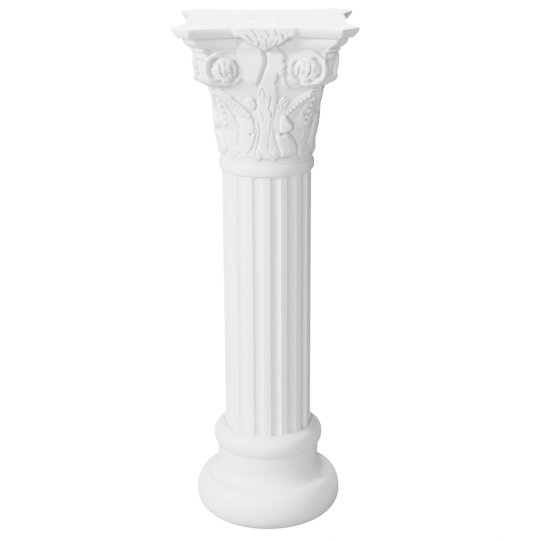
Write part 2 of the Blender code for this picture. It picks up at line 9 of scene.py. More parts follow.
import bpy
import numpy as np
from mathutils.geometry import tessellate_polygon
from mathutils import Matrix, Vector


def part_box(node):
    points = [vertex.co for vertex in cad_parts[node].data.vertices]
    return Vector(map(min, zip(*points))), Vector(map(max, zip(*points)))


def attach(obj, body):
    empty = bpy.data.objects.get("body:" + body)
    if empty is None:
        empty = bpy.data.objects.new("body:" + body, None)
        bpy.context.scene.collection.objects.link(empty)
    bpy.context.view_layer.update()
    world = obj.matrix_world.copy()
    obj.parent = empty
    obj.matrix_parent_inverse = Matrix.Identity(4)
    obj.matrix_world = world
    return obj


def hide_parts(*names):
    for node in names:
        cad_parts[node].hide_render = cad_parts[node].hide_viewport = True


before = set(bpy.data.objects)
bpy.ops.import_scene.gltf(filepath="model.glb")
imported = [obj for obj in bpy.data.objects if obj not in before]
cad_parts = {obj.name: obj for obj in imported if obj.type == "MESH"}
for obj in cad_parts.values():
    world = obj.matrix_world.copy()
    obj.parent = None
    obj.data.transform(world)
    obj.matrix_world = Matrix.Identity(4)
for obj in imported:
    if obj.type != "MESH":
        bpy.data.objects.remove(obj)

bl_info = {
    "name": "Plastic column",
    "version": (1, 0, 0),
    "blender": (4, 5, 0),
    "location": "3D View > Sidebar > Column",
    "description": "Makes the base, shaft and capital of a white plastic column and its stage",
    "category": "Add Mesh",
}

# Boxes of the frame's nodes, metres
BASE_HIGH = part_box("base")[1]
SHAFT_LOW, SHAFT_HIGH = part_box("shaft")
CAPITAL_LOW, CAPITAL_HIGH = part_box("capital")
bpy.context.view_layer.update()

# A design millimetre in metres
MM = 0.001

# The design, millimetres: the recesses' radius, the capital and the base
DESIGN_SOCKET_RADIUS = 74.7
DESIGN_CAPITAL_BOTTOM = 617.5
DESIGN_TOP = 862.0
DESIGN_HALF_WIDTH = 145.0
DESIGN_BASE_RADIUS = 125.8
DESIGN_BASE_HEIGHT = 166.0

# The shaft: its radius, the room round it in the recesses, and its flutes with
# the share of their pitch that they take and the power of their round, which is
# half an ellipse at 0.5 and narrower at the bottom above that
SHAFT_RADIUS = 74.5
SOCKET_CLEARANCE = 0.8
FLUTES = 16
FLUTE_SHARE = 0.62
FLUTE_DEPTH = 4.2
FLUTE_POWER = 0.7

# The base in section. The foot swells out to the big roll, the sooner the
# smaller its power is. The roll is drawn round its middle with its reach out and
# up, and the hollow goes in and up from there. The neck rises to the small roll,
# whose reach up is less than its reach down.
FOOT_RADIUS = 79.0
FOOT_POWER = 0.9
ROLL_MIDDLE = (105.1, 37.1)
ROLL_REACH = (20.7, 37.4)
HOLLOW_REACH = (18.0, 33.0)
NECK = ((87.15, 110.0), (87.8, 128.5))
SMALL_ROLL_MIDDLE = (80.8, 145.6)
SMALL_ROLL_OUT = 13.6
SMALL_ROLL_UP = 17.9
SMALL_ROLL_DOWN = 20.3
SMALL_ROLL_TURNS = (-57.0, 80.0)
LIP = ((81.6, 164.6), (80.6, 165.6), (79.6, 166.0), (77.0, 166.0), (75.2, 166.0), (74.8, 165.7),
       (74.7, 165.0), (74.7, 160.0), (74.7, 154.0))

# The capital's collar in section: from the top of its recess down and round its
# rim, then its roll round a middle, with its reach out and up, to the bell's foot
COLLAR_RIM = ((74.7, 629.0), (74.7, 618.5), (75.1, 617.5), (75.4, 617.5))
COLLAR_ROLL_MIDDLE = (75.6, 627.5)
COLLAR_ROLL_REACH = (3.3, 9.5)
COLLAR_ROLL_TURNS = (-62.0, 75.0)
BELL_FOOT = (76.2, 637.8)

# Rows of the carved skin. Those of the bell and those of the plate have a first
# height, a pitch and a number. Between them two rows make the plate's step, and
# above them lie close ones under its top edge. The last rings lie on the top, at
# these shares of its outline.
BELL_ROWS = (638.6, 1.42, 146)
STEP_ROWS = (845.99, 846.02)
PLATE_ROWS = (847.0, 1.4, 8)
EDGE_ROWS = (858.0, 860.0, 861.0, 861.7)
TOP_RINGS = (0.996, 0.9)

# The four holes in the plate's top
HOLE_PLACES = ((-24.0, 0.0), (21.0, 0.0), (-24.0, 47.0), (21.0, 47.0))
HOLE_RADIUS = 6.0
HOLE_DEPTH = 10.0

# How finely the pieces are meshed, and the angle in degrees over which an edge
# of a piece is sharp
QUARTER_POINTS = 28
NECK_POINTS = 8
SMALL_ROLL_POINTS = 34
COLLAR_ROLL_POINTS = 12
BASE_COLUMNS = 256
SHAFT_ROWS = 24
FLUTE_POINTS = 19
LAND_POINTS = 4
FACE_COLUMNS = 132
HOLE_SIDES = 24
SHARP_ANGLES = {"base": 40.0, "shaft": 25.0, "capital": 50.0}

# Tone of each piece's dark clouds as a share of its light ones, scale of the
# clouds, and strength of the long streaks; then how much the clouds count beside
# the streaks and the pits beside both, and the depth of the relief, metres
FINISHES = {"base": (0.965, 30.0, 0.2), "shaft": (0.95, 18.0, 0.8), "capital": (0.96, 45.0, 0.2)}
CLOUD_SHARE = 0.6
PIT_SHARE = 0.25
RELIEF_DEPTH = 0.0006

# Painted shade in the crevices: its colour, the depth, metres, at which it is full, how
# many points around count as the level, and the rows at either end without any
PAINTED_SHADE_COLOUR = (0.30, 0.295, 0.28, 1.0)
CREVICE_DEPTH = 0.0009
CREVICE_REACH = 2
CAPITAL_PLAIN_ROWS = 8

# A groove fades over this length at its ends, from this share on. A petal is
# widest nearer its tip the larger its swell is; the height of its foot and the
# depth of its midrib are shares of its own height.
GROOVE_FADE = 3.0
GROOVE_END = 0.3
PETAL_SWELL = 1.3
PETAL_FOOT = 0.55
MIDRIB_DEPTH = 0.22
MIDRIB_HALF = 1.6


# Shape helpers

def smooth(t):
    """Ease from 0 to 1 as t goes from 0 to 1."""
    t = np.clip(t, 0.0, 1.0)
    return t * t * (3.0 - 2.0 * t)


def ramp(value, start, end):
    """Ease from 0 to 1 as a value goes from start to end, up or down."""
    return smooth((value - start) / (end - start))


def path_distance(x, z, points):
    """Distance to a chain of straight lines, how far along it the nearest point
    is, 0 to 1, whether the path has it on its left, and the length of the path."""
    best = np.full(x.shape, np.inf)
    along = np.zeros(x.shape)
    left = np.zeros(x.shape, bool)
    lengths = [math.dist(a, b) for a, b in zip(points[:-1], points[1:])]
    total, done = sum(lengths), 0.0
    for (ax, az), (bx, bz), length in zip(points[:-1], points[1:], lengths):
        t = ((x - ax) * (bx - ax) + (z - az) * (bz - az)) / (length * length)
        t = np.clip(t, 0.0, 1.0)
        d = np.hypot(x - ax - t * (bx - ax), z - az - t * (bz - az))
        near = d < best
        best = np.where(near, d, best)
        along = np.where(near, (done + t * length) / total, along)
        left = np.where(near, (bx - ax) * (z - az) > (bz - az) * (x - ax), left)
        done += length
    return best, along, left, total


def depth_inside(x, z, points):
    """Distance to the outline of an area, positive inside it."""
    closed = list(points) + [points[0]]
    d = path_distance(x, z, closed)[0]
    inside = np.zeros(x.shape, bool)
    for (ax, az), (bx, bz) in zip(closed[:-1], closed[1:]):
        if az != bz:
            crosses = (az > z) != (bz > z)
            inside ^= crosses & (x < ax + (z - az) * (bx - ax) / (bz - az))
    return np.where(inside, d, -d)


def mound(d, edge):
    """Share of the full height, 0 to 1, over a rounded edge: d is the distance
    inside the area."""
    t = np.clip(d / edge, 0.0, 1.0)
    return np.sqrt(np.clip(1.0 - (1.0 - t) ** 2, 0.0, 1.0))


def groove(x, z, points, width, depth):
    """Depth of a rounded groove along a path, fading at both ends."""
    d, along, _, total = path_distance(x, z, points)
    ends = smooth(np.minimum(along, 1.0 - along) * total / GROOVE_FADE + GROOVE_END)
    return depth * ends * (1.0 - smooth(d / (0.5 * width)))


def dome(x, z, cx, cz, wide, tall, height):
    """A round boss, or with a negative height a round pit."""
    d = np.hypot((x - cx) / wide, (z - cz) / tall)
    return height * np.sqrt(np.clip(1.0 - d * d, 0.0, 1.0))


def petal(x, z, foot, tip, width, height):
    """A petal with a rounded back and a sunk midrib, rising to its tip."""
    ux, uz = tip[0] - foot[0], tip[1] - foot[1]
    length = math.hypot(ux, uz)
    t = ((x - foot[0]) * ux + (z - foot[1]) * uz) / (length * length)
    across = ((x - foot[0]) * uz - (z - foot[1]) * ux) / length
    t = np.clip(t, 0.0, 1.0)
    half = width * np.sqrt(np.clip(np.sin(math.pi * t ** PETAL_SWELL), 0.0, 1.0))
    e = across / np.maximum(half, 0.01)
    body = np.sqrt(np.clip(1.0 - e * e, 0.0, 1.0)) * (PETAL_FOOT + (1.0 - PETAL_FOOT) * t)
    return height * body * (1.0 - MIDRIB_DEPTH * ramp(np.abs(across), MIDRIB_HALF, 0.0))


def bead_row(x, z, points, count, sizes, height):
    """Height of a row of round beads along a path."""
    lengths = np.array([math.dist(a, b) for a, b in zip(points[:-1], points[1:])])
    at = np.concatenate([[0.0], np.cumsum(lengths)])
    where = np.linspace(0.0, at[-1], count)
    px = np.interp(where, at, [p[0] for p in points])
    pz = np.interp(where, at, [p[1] for p in points])
    rise = np.zeros(x.shape)
    for cx, cz, share in zip(px, pz, np.linspace(0.0, 1.0, count)):
        radius = sizes[0] + (sizes[1] - sizes[0]) * share
        rise = np.maximum(rise, dome(x, z, cx, cz, radius, radius, height * radius))
    return rise


# The carving of a face, in millimetres across from its middle and up. Each row
# starts with the half it is on: -1 left, 1 right, 0 both, and is drawn as on the
# right half.

# Raised areas: height at the middle line, rise per millimetre across, edge, outline
LEAVES = (
    (0, 2.2, 0.0, 7.0, ((8, 650), (30, 652), (52, 648), (62, 700), (56, 736), (34, 734), (16, 742),
                        (10, 722), (7, 690))),
    (-1, 4.6, 0.0, 6.0, ((19, 713), (26, 722), (40, 718), (43, 700), (43, 672), (34, 659), (24, 660),
                         (17, 680), (14, 696))),
    (1, 5.2, 0.09, 9.0, ((16, 694), (36, 693), (45, 681), (49, 668), (47, 658), (38, 653), (24, 652),
                         (14, 672))),
    (0, 3.6, 0.0, 6.0, ((52, 710), (50, 690), (50, 676), (48.5, 662), (54, 647), (60, 645), (92, 660),
                        (96, 708))),
    (0, -11.0, 0.29, 3.0, ((48, 699), (57, 699), (59, 710), (59, 720), (56, 728), (51, 724),
                           (46, 714))),
    (-1, 4.6, 0.0, 7.5, ((15, 747), (13.5, 738), (17, 730), (25, 727), (33, 730), (37, 738), (35, 747),
                         (28, 752), (20, 751))),
    (1, 3.4, 0.0, 3.5, ((20, 746), (20, 736), (23, 729), (30, 729), (35, 738), (37, 748), (28, 752))),
    (1, 2.4, 0.0, 2.5, ((25, 790), (22.5, 782), (26, 772), (33, 765), (37, 766), (31, 778),
                        (29.5, 789))),
    (1, 3.4, 0.0, 5.0, ((-3.5, 791), (-9, 775), (-13, 752), (-16, 731), (-12, 713), (-9.5, 700),
                        (-10, 687), (-13, 674), (-17, 663), (-17, 655), (-13, 648), (17, 648),
                        (22, 655), (21, 665), (15, 682), (12, 700), (12, 713), (16, 732), (19, 752),
                        (17, 775), (13, 791))),
)

# The leaf rim under the upper string of beads, and its inner slope
RIM = ((19, 716), (20, 726), (36, 741), (52, 754), (84, 772), (94, 768), (84, 762), (66, 747),
       (52, 734), (40, 722), (31, 716))
RIM_SLOPE = ((66, 762), (50, 750), (36, 739), (24, 727), (20, 716))

# Raised areas with one long slope: the same, then the slope's width, its path
# with the area on the left, and how far the area takes to rise from its foot
SLOPES = (
    (1, 6.0, 0.0, 4.5, ((-6, 842), (14, 842), (20, 828), (26, 824), (31, 817), (30, 812), (27, 809.5),
                        (31, 805), (31, 800), (28, 797.5), (31, 793), (28, 787), (21, 785), (17, 772),
                        (18, 752), (-18, 752)),
     5.0, ((-2.5, 836), (1.5, 824), (3.5, 815), (2.5, 803), (-2, 791), (-9, 770), (-13, 752)), 42.0),
    (-1, 8.4, -0.14, 13.0, ((-6, 846), (24, 846), (44, 828), (46, 808), (40, 788), (26, 770), (9, 764),
                            (-8, 784), (-12, 815)),
     7.0, ((5, 836), (5, 824), (2, 815), (3.5, 803), (8, 791), (13, 774)), 16.0),
    (1, 0.0, 0.24, 3.0, ((12, 694), (12, 722), (32, 722), (36, 714), (42, 708), (42, 699), (35, 693),
                         (26, 691)),
     6.0, ((27, 728), (23, 718), (21.5, 706), (22, 690)), 3.0),
    (-1, 7.2, -0.045, 4.0, RIM, 9.0, RIM_SLOPE, 3.0),
    (1, 2.2, 0.012, 4.0, RIM, 11.0, RIM_SLOPE, 3.0),
    (0, 2.6, 0.0, 4.0, ((66, 750), (40, 735), (36, 715), (36, 696), (96, 696), (98, 768)),
     5.0, ((60, 735), (50, 722), (46, 712), (44.5, 696)), 4.0),
)

# The curl at the stalk's foot, and round pits: middle, half width, half height, rise
CURL = (13.0, 657.0, 7.0, 12.0, 4.6)
PITS = ((24.0, 691.0, 3.0, 2.5, -3.0), (39.0, 837.5, 5.5, 5.5, -10.0))

# Grooves: width, depth, path
GROOVES = (
    (0, 3.0, 1.0, ((39, 806), (36, 793), (39, 779), (46, 768))),
    (0, 4.0, 1.0, ((56, 702), (53, 684), (55, 667))),
    (0, 4.0, 1.0, ((65, 702), (61, 684), (61, 667))),
    (-1, 7.0, 3.4, ((52, 751), (36, 738), (24, 725), (18.5, 716), (17.5, 706))),
    (-1, 7.0, 2.6, ((58, 733), (48, 720), (42.5, 705), (43, 688), (45, 671))),
    (-1, 3.0, 2.2, ((18.5, 708), (17.8, 699), (21.5, 688))),
    (-1, 3.0, 2.6, ((20, 670), (25, 664), (30, 657))),
    (-1, 3.4, 2.4, ((42, 661), (47, 654), (53, 646))),
    (-1, 4.0, 3.4, ((20, 748), (15.5, 744), (14, 738), (17, 730))),
    (-1, 2.8, 2.4, ((13, 713), (9.5, 700), (10, 687), (13, 674), (17, 663), (17.3, 655), (13.3, 648))),
    (-1, 3.4, 3.0, ((10, 647), (5.4, 650), (5.6, 657))),
    (1, 4.6, 3.6, ((15, 682), (19, 669), (22.5, 661), (21.5, 651), (17, 648))),
    (1, 2.8, 2.0, ((8.7, 658), (11, 652), (16, 647.5))),
    (1, 2.8, 2.6, ((31.5, 750), (23, 743), (21.8, 733))),
    (1, 2.8, 3.0, ((36, 748), (27, 740), (25.3, 730))),
    (1, 5.4, 3.4, ((33, 722), (38, 712), (44, 707), (43, 699), (36, 693), (25, 690))),
    (1, 2.8, 2.6, ((37, 693), (45, 681), (48.5, 667), (47.5, 658), (55, 647))),
    (1, 2.6, 1.6, ((74, 752), (56, 733), (43, 719))),
    (1, 3.0, 0.6, ((30, 686), (31, 676), (33, 662))),
    (1, 3.0, 0.7, ((37, 688), (39, 676), (40, 664))),
    (1, 5.0, 3.8, ((19.5, 791), (18.5, 783), (15, 773))),
    (1, 3.2, 3.4, ((-6, 767), (-8, 759), (-10.8, 750))),
    (1, 2.8, 2.0, ((-4, 767), (0.2, 751))),
    (1, 3.0, 3.4, ((8.7, 753), (4.5, 731))),
    (1, 3.4, 3.6, ((6, 730), (9.5, 723), (8.6, 716))),
    (1, 3.4, 1.2, ((9, 713), (7.5, 698), (4, 684), (3.8, 664))),
    (1, 3.0, 1.4, ((-8, 730), (-4, 722), (-4, 712))),
)

# Strings of beads over the leaf's rim: path, number of beads, first and last
# radius, and height as a share of the radius
STRINGS = (
    (1, ((82, 767), (64, 751), (52, 741), (35, 725)), 10, (2.3, 3.1), 1.05),
    (-1, ((82, 767), (64, 751), (52, 741), (35, 725)), 10, (2.4, 2.8), 0.5),
    (-1, ((82, 760), (66, 746), (52, 735)), 8, (2.0, 2.2), 0.6),
)

# Outline of half the flower on the plate, where it ends, and the clefts between
# its petals, on a half as above
FLOWER = ((-9, 821), (0, 823), (7, 827), (16, 830), (27, 834), (33, 840), (37, 844), (46, 846),
          (54, 852), (54, 870), (-9, 870))
FLOWER_END = 53.0
CLEFTS = (
    (1, 3.6, 2.4, ((1, 846), (3, 838), (4.5, 829))),
    (1, 3.4, 3.4, ((1, 858), (5.5, 853), (6.5, 847))),
    (-1, 4.0, 3.6, ((20, 860), (15, 853), (11.5, 846))),
    (-1, 4.0, 3.4, ((29, 852), (22, 845), (16.5, 838))),
    (-1, 3.4, 3.0, ((28, 843), (23, 838), (20, 833))),
    (-1, 4.0, 3.0, ((9.5, 842), (9, 834), (11, 828))),
    (-1, 3.0, 1.6, ((5, 852), (3, 845))),
    (1, 3.8, 3.6, ((15, 860), (17.5, 855), (18.5, 850))),
    (1, 5.0, 4.6, ((26, 853), (28.5, 847), (29, 843))),
    (1, 3.2, 2.8, ((13, 843), (10.5, 839), (9.5, 835))),
    (1, 3.2, 3.0, ((21, 843), (17.5, 838), (14, 833))),
    (1, 3.0, 2.4, ((29, 839), (23, 835), (19, 831))),
    (1, 3.0, 1.4, ((36, 858), (34, 852))),
)

# The scroll: its middle across and up, its radius, how much shorter it is below
# its middle, and the radius of the dome in it
SCROLL_MIDDLE = (62.5, 796.0)
SCROLL_RADIUS = 31.5
SCROLL_FLATTER = 1.18
SCROLL_DOME_RADIUS = 20.5

# Height of its ring, and more on the outer side and below; height of the sunk
# ring inside, more on the outer side, and its deep outer and inner ends; height
# of the dome's edge, its rise to the middle, and the radius at which that is gone
SCROLL_RING = (2.0, 5.0, 1.0)
SCROLL_TROUGH = (2.2, 2.5, -11.0, -9.5)
SCROLL_DOME = (3.0, 5.5, 22.0)

# How far the wall between ring and sunk ring takes to rise, and more at the deep
# outer end; the same for the dome's edge; the same where the scroll meets the
# carving around it, and more on the inner side; and a fine line on the inner side
# of the ring as radius, half width and depth
SCROLL_WALL = (3.6, 3.4)
SCROLL_DOME_EDGE = 2.4
SCROLL_BORDER = (1.2, 4.0)
SCROLL_LINE = (27.0, 1.3, 0.7)

# Petals of its flower, from its middle, their height, and the clefts between them
SCROLL_PETALS = (
    ((2, -9), (3, 15), 4.0), ((8, -5), (12, 11), 4.0), ((-6, -4), (-6, 14), 4.5),
    ((1, -6), (-1.5, -28), 6.0),
)
SCROLL_PETAL_HEIGHT = 2.6
SCROLL_GROOVES = (
    (3.8, 4.5, ((7, 7), (6.5, -2), (4, -8), (-1, -12))),
    (4.2, 5.0, ((-9, 8), (-11, 0), (-11.5, -5), (-14, -16))),
    (3.4, 3.5, ((-2, -8), (-6, -5), (-10, -3))),
    (3.0, 3.0, ((14, -18), (8, -18), (3, -14))),
    (8.0, 3.0, ((-9, -13), (-11, -25))),
)

# The corner: the turns from a face's middle between which its carving goes over
# from standing out of the face to standing out of the corner; how far the
# scroll's band stands out and its half width; the depth and half width of its
# hollow; the leaf on it as middle, half sizes and rise; and the beads under it
LEAN_TURNS = (0.55, 0.77)
BAND_RISE = 5.0
BAND_HALF = 17.5
BAND_HOLLOW_DEPTH = 2.5
BAND_HOLLOW_HALF = 12.0
BAND_LEAF = (0.0, 818.0, 9.0, 8.0, 2.6)
CORNER_BEADS = (((0, 764), (0, 704)), 7, (3.0, 4.6), 1.05)

# Distance of the flower from the axis, how much more it is at its top and less
# at its foot, and how softly its edges rise
FLOWER_FRONT = 124.5
FLOWER_SWELL = 3.0
FLOWER_TUCK = 12.0
FLOWER_EDGE = 5.0
FLOWER_END_EDGE = 10.0

# The carving is drawn as the camera sees it, from this distance and height in
# front of the face, on a surface that lies at these distances from the axis at
# these heights
EYE_DISTANCE = 2219.4
EYE_HEIGHT = 1121.8
DRAWN_ON = ((618, 78), (640, 79), (700, 85), (750, 94), (785, 108), (823, 112), (846, 118), (862, 129))

# Height, and distance of the plain form from the axis at the middle of a face
# and at a corner
FORM = (
    (622.0, 76.0, 76.0), (638.5, 76.2, 76.2), (655.0, 77.2, 76.5), (669.0, 77.8, 78.0),
    (690.0, 82.6, 82.0), (703.0, 84.4, 84.5), (717.0, 85.0, 88.4), (730.0, 86.0, 95.3),
    (743.0, 88.5, 103.2), (750.0, 91.0, 106.8), (758.0, 94.0, 110.2), (763.0, 95.5, 113.4),
    (768.0, 97.0, 120.6), (774.0, 98.0, 130.5), (781.0, 99.0, 136.5), (796.0, 100.0, 139.5),
    (822.0, 100.0, 140.0),
)

# Plan that the bell goes over to at its corners: half width, start of the cut
# corner and how far the sides are sunk
BELL_PLAN = (115.0, 93.0, 10.0)

# The plate at heights up to its top: half width, start of the cut corner and how
# far its sides are sunk
PLATE = (
    (822.0, 111.5, 91.0, 11.5), (824.0, 112.5, 92.5, 12.0), (828.0, 116.0, 96.5, 14.0),
    (832.0, 121.5, 102.0, 17.0), (837.0, 126.6, 107.5, 20.5), (840.0, 128.4, 109.5, 22.0),
    (846.0, 129.5, 111.0, 23.5), (846.01, 135.0, 116.0, 24.0), (848.0, 137.8, 116.5, 24.3),
    (851.0, 140.6, 117.0, 24.6), (854.0, 143.2, 117.0, 24.9), (857.0, 145.0, 117.0, 25.2),
    (862.0, 145.0, 117.0, 25.5),
)


def on_half(x, half):
    """Distance across from the middle as the tables are drawn, on their half."""
    return np.abs(x) if half == 0 else half * x


def scroll(x, z, rise):
    """The corner scroll over the rise of the carving around it: a ring that is
    high on the outer side, a sunk ring and a dome with a flower."""
    u, w = np.abs(x) - SCROLL_MIDDLE[0], z - SCROLL_MIDDLE[1]
    d = np.hypot(u, w)
    reach = np.hypot(u, np.where(w < 0.0, SCROLL_FLATTER * w, w))
    outer = ramp(u / np.maximum(d, 1.0), 0.35, 0.7) * ramp(w, -16.0, -8.0)
    inner = ramp(u, -5.0, -12.0) * ramp(w, -20.0, -15.0) * ramp(w, 17.0, 11.0)
    side, low = ramp(u, -8.0, 16.0), ramp(w, -8.0, -20.0)
    inward = (1.0 - side) * (1.0 - low)
    height, at_side, at_foot = SCROLL_RING
    ring = height + at_side * side + at_foot * low
    height, at_side, outer_end, inner_end = SCROLL_TROUGH
    trough = height + at_side * side + outer_end * outer + inner_end * inner
    wall = SCROLL_WALL[0] + SCROLL_WALL[1] * outer
    shape = trough + (ring - trough) * smooth((d - SCROLL_DOME_RADIUS) / wall)
    edge, swell, gone = SCROLL_DOME
    boss = edge + swell * np.clip(1.0 - (d / gone) ** 2, 0.0, 1.0)
    shape += (boss - trough) * ramp(d, SCROLL_DOME_RADIUS, SCROLL_DOME_RADIUS - SCROLL_DOME_EDGE)
    radius, half, depth = SCROLL_LINE
    shape -= depth * np.exp(-((d - radius) / half) ** 2) * inward
    petals = np.zeros(x.shape)
    for foot, tip, half in SCROLL_PETALS:
        petals = np.maximum(petals, petal(u, w, foot, tip, half, SCROLL_PETAL_HEIGHT))
    shape += petals
    for width, depth, path in SCROLL_GROOVES:
        shape -= groove(u, w, path, width, depth)
    border = SCROLL_BORDER[0] + SCROLL_BORDER[1] * inward
    return rise + (shape - rise) * smooth((SCROLL_RADIUS - reach) / border)


def flower(x, z, back):
    """The flower on the plate, as a rise over the surface behind it, which lies
    at the distance back from the axis."""
    across = np.abs(x)
    front = FLOWER_FRONT + FLOWER_SWELL * ramp(z, 828.0, 850.0) - FLOWER_TUCK * ramp(z, 838.0, 820.0)
    for half, width, depth, path in CLEFTS:
        front -= groove(on_half(x, half), z, path, width, depth)
    edge = smooth(depth_inside(across, z, FLOWER) / FLOWER_EDGE)
    return np.maximum(front - back, 0.0) * edge * smooth((FLOWER_END - across) / FLOWER_END_EDGE)


def face_relief(x, z, back):
    """Rise of the carving of one face over the plain form, which lies at the
    distance back from the axis, millimetres."""
    rise = np.zeros(x.shape)
    for half, height, tilt, edge, outline in LEAVES:
        across = on_half(x, half)
        area = mound(depth_inside(across, z, outline), edge)
        rise = np.maximum(rise, (height + tilt * across) * area)
    for half, height, tilt, edge, outline, width, path, foot in SLOPES:
        across = on_half(x, half)
        d, _, left, _ = path_distance(across, z, path)
        slope = smooth(np.where(left, d, -d) / width + 0.5)
        lowest = min(point[1] for point in outline)
        area = mound(depth_inside(across, z, outline), edge) * smooth((z - lowest) / foot)
        rise = np.maximum(rise, slope * (height + tilt * across) * area)
    rise = np.maximum(rise, dome(np.abs(x), z, *CURL))
    for pit in PITS:
        rise = rise + dome(np.abs(x), z, *pit)
    for half, width, depth, path in GROOVES:
        rise = rise - groove(on_half(x, half), z, path, width, depth)
    for half, path, count, sizes, share in STRINGS:
        rise = rise + bead_row(on_half(x, half), z, path, count, sizes, share)
    rise = scroll(x, z, rise)
    petals = flower(x, z, back)
    return np.where(petals > 0.0, np.maximum(rise, petals), rise)


def corner_relief(across, z):
    """Rise along the corner: the scroll band with its leaf, and the beads."""
    aside = np.abs(across)
    band = BAND_RISE * ramp(aside, BAND_HALF, BAND_HALF - 2.0)
    band *= ramp(z, 762.0, 771.0) * ramp(z, 829.0, 826.0)
    hollow = BAND_HOLLOW_DEPTH * ramp(aside, BAND_HOLLOW_HALF, BAND_HOLLOW_HALF - 3.0)
    hollow *= ramp(z, 784.0, 788.0) * ramp(z, 814.0, 810.0)
    return band - hollow + dome(across, z, *BAND_LEAF), bead_row(across, z, *CORNER_BEADS)


def plate_radius(turn, half, cut, hollow):
    """Distance to a square with hollow sides and cut corners, at a turn from
    the middle of the side: half is its half width, cut where the corner cut
    starts and hollow how far the side is sunk."""
    s, c = np.abs(np.sin(turn)), np.cos(turn)
    a = hollow * s * s / (cut * cut)
    root = np.sqrt(np.maximum(c * c - 4.0 * a * (half - hollow), 0.0))
    side = np.where(a > 1e-9, (c - root) / np.maximum(2.0 * a, 1e-12), (half - hollow) / c)
    return np.minimum(side, (half + cut) / (s + c))


def plain_radius(turn, z):
    """Distance of the plain capital from the axis, design millimetres."""
    half, cut, hollow = BELL_PLAN
    near, far = half - hollow, (half + cut) / math.sqrt(2.0)
    share = (plate_radius(turn, half, cut, hollow) - near) / (far - near)
    heights = [row[0] for row in FORM]
    middle = np.interp(z, heights, [row[1] for row in FORM])
    corner = np.interp(z, heights, [row[2] for row in FORM])
    bell = middle + (corner - middle) * share
    levels = [row[0] for row in PLATE]
    plan = [np.interp(z, levels, [row[k] for row in PLATE]) for k in (1, 2, 3)]
    plate = plate_radius(turn, *plan)
    return np.where(z < levels[0], bell, plate)


def face_turns(columns):
    """Turns across a face, from the middle to both corners, with one column on
    each tip of the plate."""
    tip = math.atan2(PLATE[-1][2], PLATE[-1][1])
    aside = round(columns * (0.25 * math.pi - tip) / (0.5 * math.pi))
    corner = tip + (np.arange(aside) + 1.0) * (0.25 * math.pi - tip) / (aside + 0.5)
    return np.concatenate([-corner[::-1], np.linspace(-tip, tip, columns - 2 * aside), corner])


def capital_skin(turn, z):
    """The carved surface of a face in design millimetres, for turns from the
    middle of the face out to its corners: the plain form, and on it the rise of
    the carving as it is drawn where the camera sees each point. Returns x
    across, y out from the axis, and z."""
    radius = plain_radius(turn, z)
    x, back = radius * np.sin(turn), radius * np.cos(turn)
    view = np.interp(z, [row[0] for row in DRAWN_ON], [row[1] for row in DRAWN_ON])
    seat = back + np.maximum(FLOWER_FRONT - back, 0.0) * ramp(z, 826.0, 836.0)
    draw_z = z + (EYE_HEIGHT - z) / (EYE_DISTANCE - view) * (view - seat)
    draw_x = x * (EYE_DISTANCE - view) / (EYE_DISTANCE - seat)
    rise = face_relief(draw_x, draw_z, back)
    band, beads = corner_relief(radius * (math.pi / 4.0 - np.abs(turn)), z)
    corner = np.maximum(band - rise, 0.0) + beads
    lean = (math.pi / 4.0) * ramp(np.abs(turn), *LEAN_TURNS) * np.sign(turn)
    diagonal = math.sqrt(0.5)
    out_x = x + rise * np.sin(lean) + corner * diagonal * np.sign(turn)
    out_y = back + rise * np.cos(lean) + corner * diagonal
    return out_x, out_y, z


# Mesh helpers

def ring_faces(rows, columns):
    """Faces of rows of points that each run in a ring: quads between the rows
    and a face over the first row, which looks away from the second."""
    r, k = np.arange(rows - 1)[:, None], np.arange(columns)[None, :]
    j = (k + 1) % columns
    here, above = r * columns, (r + 1) * columns
    quads = np.stack([here + k, here + j, above + j, above + k], axis=-1)
    return quads.reshape(-1, 4).tolist() + [list(range(columns))[::-1]]


def last_cap(rows, columns):
    """The face over the last row of such points."""
    return [list(range((rows - 1) * columns, rows * columns))]


def arc(middle, reach, turns):
    """Points round a middle, with the reach out and up, at turns in radians."""
    return np.column_stack([middle[0] + reach[0] * np.cos(turns), middle[1] + reach[1] * np.sin(turns)])


def new_piece(name, points, faces, node, looks):
    """Make a mesh object in place, smooth but for its sharp edges, riding on
    the body and standing for the node, whose own part it hides."""
    mesh = bpy.data.meshes.new(name)
    points = np.asarray(points, np.float32).reshape(-1, 3)
    mesh.from_pydata(points.tolist(), [], faces)
    mesh.update()
    mesh.shade_smooth()
    mesh.set_sharp_from_angle(angle=math.radians(SHARP_ANGLES[node]))
    mesh.materials.append(white_plastic(node, looks))
    piece = bpy.data.objects.new(name, mesh)
    bpy.context.scene.collection.objects.link(piece)
    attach(piece, "root")
    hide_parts(node)
    return piece


def spread_radius(radius, design_outer, outer):
    """Map a design distance from the axis so that the socket stays on the
    shaft and the design's outer radius falls on the frame's."""
    share = (radius - DESIGN_SOCKET_RADIUS) / (design_outer - DESIGN_SOCKET_RADIUS)
    socket = MM * (SHAFT_RADIUS + SOCKET_CLEARANCE)
    return socket + (outer - socket) * share


# Materials

def node_group(name, inputs, outputs):
    """A new shader node group with float or colour sockets."""
    group = bpy.data.node_groups.new(name, "ShaderNodeTree")
    for label, kind, value in inputs:
        made = group.interface.new_socket(name=label, in_out="INPUT", socket_type=kind)
        made.default_value = value
    for label, kind in outputs:
        group.interface.new_socket(name=label, in_out="OUTPUT", socket_type=kind)
    return group, group.nodes.new("NodeGroupInput"), group.nodes.new("NodeGroupOutput")


